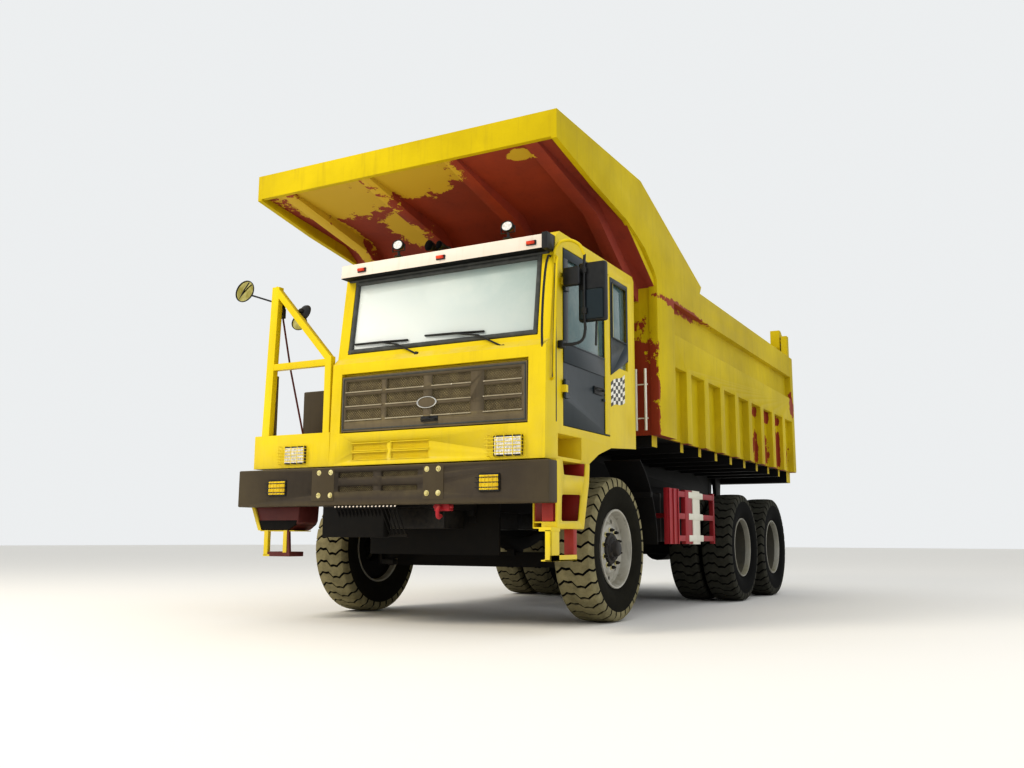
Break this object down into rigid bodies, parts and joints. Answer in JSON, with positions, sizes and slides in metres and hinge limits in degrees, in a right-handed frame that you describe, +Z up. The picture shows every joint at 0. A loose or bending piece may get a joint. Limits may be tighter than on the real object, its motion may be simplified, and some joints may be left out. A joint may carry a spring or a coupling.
{
  "type": "mining dump truck",
  "caption": "Off-road mining dump truck with an offset cab, a canopied tipping body, a side platform and twin rear axles on twin tyres.",
  "frame": {"origin": "centre of the bounding box, on the ground", "axes": "+X towards the left of the truck, -Y forwards, +Z up"},
  "size_m": [3.8273, 8.475, 4.252],
  "materials": {
    "yellow_paint": "dusty enamel paint",
    "black_paint": "dusty chassis paint",
    "dark_grey_paint": "dusty enamel paint",
    "red_paint": "enamel paint",
    "cream_paint": "enamel paint",
    "door_paint": "enamel paint",
    "tyre_rubber": "dusty rubber",
    "rim_paint": "worn silver paint",
    "bright_steel": "hard chrome",
    "window_glass": "clear",
    "seat_vinyl": "vinyl",
    "dark_plastic": "moulded"
  },
  "bodies": {
    "chassis": {"cab_shell": "yellow_paint", "platform": "yellow_paint", "left_step": "yellow_paint", "right_step": "yellow_paint", "chassis_frame": "black_paint", "front_axle_beam": "black_paint", "middle_axle": "black_paint", "rear_axle": "black_paint", "bogie_suspension": "black_paint", "engine_block": "black_paint", "fuel_tank": "black_paint", "hydraulic_tank": "black_paint", "front_bumper": "dark_grey_paint", "air_cleaner_box": "dark_grey_paint", "left_side_guard": "red_paint", "right_side_guard": "red_paint", "sun_visor": "cream_paint", "windscreen": "window_glass", "quarter_window": "window_glass", "right_side_window": "window_glass", "driver_seat": "seat_vinyl", "dashboard": "dark_plastic", "left_mirror": "dark_plastic", "right_mirrors": "dark_plastic"},
    "left_front_wheel": {"left_front_rim": "rim_paint", "left_front_tyre": "tyre_rubber"},
    "left_knuckle": {"left_steering_knuckle": "black_paint"},
    "left_middle_wheel": {"left_middle_twin_rim": "rim_paint", "left_middle_outer_tyre": "tyre_rubber", "left_middle_inner_tyre": "tyre_rubber"},
    "left_rear_wheel": {"left_rear_twin_rim": "rim_paint", "left_rear_outer_tyre": "tyre_rubber", "left_rear_inner_tyre": "tyre_rubber"},
    "right_front_wheel": {"right_front_rim": "rim_paint", "right_front_tyre": "tyre_rubber"},
    "right_knuckle": {"right_steering_knuckle": "black_paint"},
    "right_middle_wheel": {"right_middle_twin_rim": "rim_paint", "right_middle_outer_tyre": "tyre_rubber", "right_middle_inner_tyre": "tyre_rubber"},
    "right_rear_wheel": {"right_rear_twin_rim": "rim_paint", "right_rear_outer_tyre": "tyre_rubber", "right_rear_inner_tyre": "tyre_rubber"},
    "left_door": {"left_door": "door_paint", "left_door_window": "window_glass"},
    "front_hatch": {"front_hatch": "dark_plastic"},
    "dump_body": {"dump_body": "yellow_paint"},
    "tailgate": {"tailgate": "yellow_paint"},
    "hoist_barrels": {"hoist_barrels": "black_paint"},
    "hoist_rods": {"hoist_rods": "bright_steel"}
  },
  "joints": [
    {"name": "left_steering", "type": "hinge", "parent": "chassis", "child": "left_knuckle", "pos_m": [1.02, -2.64, 0.65], "axis": [0, 0, 1], "range_deg": [-32, 32]},
    {"name": "left_front_wheel_spin", "type": "hinge", "parent": "left_knuckle", "child": "left_front_wheel", "pos_m": [1.325, -2.64, 0.65], "axis": [1, 0, 0], "continuous": true},
    {"name": "left_middle_wheel_spin", "type": "hinge", "parent": "chassis", "child": "left_middle_wheel", "pos_m": [1.235, 1.13, 0.65], "axis": [1, 0, 0], "continuous": true},
    {"name": "left_rear_wheel_spin", "type": "hinge", "parent": "chassis", "child": "left_rear_wheel", "pos_m": [1.235, 2.63, 0.65], "axis": [1, 0, 0], "continuous": true},
    {"name": "right_steering", "type": "hinge", "parent": "chassis", "child": "right_knuckle", "pos_m": [-1.02, -2.64, 0.65], "axis": [0, 0, 1], "range_deg": [-32, 32]},
    {"name": "right_front_wheel_spin", "type": "hinge", "parent": "right_knuckle", "child": "right_front_wheel", "pos_m": [-1.325, -2.64, 0.65], "axis": [1, 0, 0], "continuous": true},
    {"name": "right_middle_wheel_spin", "type": "hinge", "parent": "chassis", "child": "right_middle_wheel", "pos_m": [-1.235, 1.13, 0.65], "axis": [1, 0, 0], "continuous": true},
    {"name": "right_rear_wheel_spin", "type": "hinge", "parent": "chassis", "child": "right_rear_wheel", "pos_m": [-1.235, 2.63, 0.65], "axis": [1, 0, 0], "continuous": true},
    {"name": "left_door_hinge", "type": "hinge", "parent": "chassis", "child": "left_door", "pos_m": [1.57, -3.9, 1.64], "axis": [0, 0, -1], "range_deg": [0, 55]},
    {"name": "front_hatch_hinge", "type": "hinge", "parent": "chassis", "child": "front_hatch", "pos_m": [0, -4.18, 2.125], "axis": [-1, 0, 0], "range_deg": [0, 75]},
    {"name": "dump_body_tip", "type": "hinge", "parent": "chassis", "child": "dump_body", "pos_m": [0, 3.7, 1.36], "axis": [-1, 0, 0], "range_deg": [0, 50]},
    {"name": "tailgate_swing", "type": "hinge", "parent": "dump_body", "child": "tailgate", "pos_m": [0, 4.06, 3.8], "axis": [1, 0, 0], "range_deg": [0, 55]},
    {"name": "hoist_barrel_tilt", "type": "hinge", "parent": "chassis", "child": "hoist_barrels", "pos_m": [0, 1.15, 1.1], "axis": [1, 0, 0], "range_deg": [0, 15.06]},
    {"name": "hoist_rod_slide", "type": "slide", "parent": "hoist_barrels", "child": "hoist_rods", "axis": [0, 0.9587, 0.2843], "range_m": [0, 0.8037]}
  ],
  "couplings": [
    {"joint": "right_steering", "follows": "left_steering", "ratio": 1},
    {"joint": "hoist_barrel_tilt", "follows": "dump_body_tip", "ratio": 0.30081},
    {"joint": "hoist_rod_slide", "follows": "dump_body_tip", "m_per_rad": 0.92041}
  ]
}
